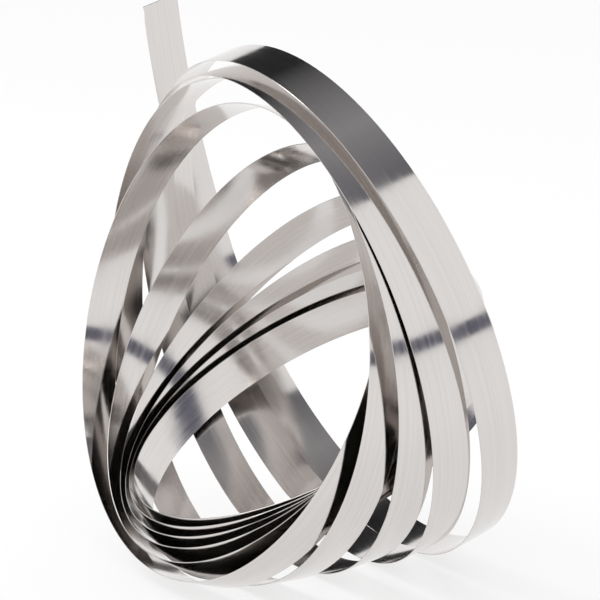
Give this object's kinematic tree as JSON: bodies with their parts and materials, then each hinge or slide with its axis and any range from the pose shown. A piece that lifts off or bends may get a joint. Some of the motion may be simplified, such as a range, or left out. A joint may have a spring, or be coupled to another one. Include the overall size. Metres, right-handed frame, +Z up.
{
  "type": "nickel strip roll",
  "caption": "Nickel strip roll: one length of thin bright nickel strip, sprung open into a loose fanned coil standing on its rim",
  "frame": {"origin": "centre of the bounding box, on the floor", "axes": "+X across the turns, +Y along the coil axis away from its open front, +Z up"},
  "size_m": [0.1068, 0.069, 0.1067],
  "materials": {
    "nickel": "bright rolled"
  },
  "bodies": {
    "root": {"nickel_strip": "nickel"}
  },
  "joints": []
}
